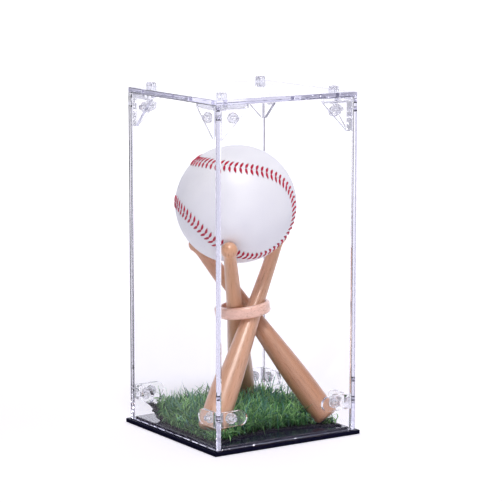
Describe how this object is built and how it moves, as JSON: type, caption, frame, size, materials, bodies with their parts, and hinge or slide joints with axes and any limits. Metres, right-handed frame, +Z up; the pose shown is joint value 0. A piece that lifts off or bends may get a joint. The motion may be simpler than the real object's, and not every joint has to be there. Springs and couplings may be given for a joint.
{
  "type": "baseball display case",
  "caption": "Clear bolted cover on a stepped black base, over a stitched ball that rests on a tripod of small wooden bats standing on a turf mat.",
  "frame": {"origin": "centre of the base plate's underside, where the case stands", "axes": "+Z up; the front wall faces -Y, the left wall faces -X and the right wall faces +X; the pictured corner is the one between the front and left walls"},
  "size_m": [0.1064, 0.1064, 0.2168],
  "materials": {
    "black_gloss": "polished black acrylic",
    "clear_panel": "clear polished acrylic sheet",
    "clear_fitting": "clear moulded plastic",
    "lacquered_wood": "light hardwood under gloss lacquer",
    "mat_backing": "coarse black woven backing",
    "turf_green": "soft green plastic blades",
    "white_leather": "smooth white leather",
    "red_thread": "waxed red thread",
    "yarn": "wound wool yarn",
    "core_rubber": "matt rubber",
    "cork": "raw cork"
  },
  "bodies": {
    "base": {"base_plate": "black_gloss", "step_plate": "black_gloss", "turf_backing": "mat_backing", "turf_pile": "turf_green", "turf_blades": "turf_green", "bat_front": "lacquered_wood", "bat_left": "lacquered_wood", "bat_right": "lacquered_wood", "stand_ring": "lacquered_wood"},
    "cover": {"wall_front": "clear_panel", "wall_back": "clear_panel", "wall_left": "clear_panel", "wall_right": "clear_panel", "top_panel": "clear_panel", "top_screws": "clear_fitting", "upper_wall_screws": "clear_fitting", "lower_wall_screws": "clear_fitting", "upper_bracket_front_left": "clear_fitting", "lower_bracket_front_left": "clear_fitting", "upper_bracket_front_right": "clear_fitting", "lower_bracket_front_right": "clear_fitting", "upper_bracket_back_right": "clear_fitting", "lower_bracket_back_right": "clear_fitting", "upper_bracket_back_left": "clear_fitting", "lower_bracket_back_left": "clear_fitting"},
    "ball": {"ball_cork": "cork", "ball_rubber": "core_rubber", "ball_winding": "yarn", "ball_panel_lower": "white_leather", "ball_panel_upper": "white_leather", "ball_stitches": "red_thread"}
  },
  "joints": [
    {"name": "cover_lift", "type": "slide", "parent": "base", "child": "cover", "axis": [0, 0, 1], "range_m": [0, 0.2]},
    {"name": "ball_lift", "type": "slide", "parent": "base", "child": "ball", "axis": [0, 0, 1], "range_m": [0, 0.03]}
  ]
}
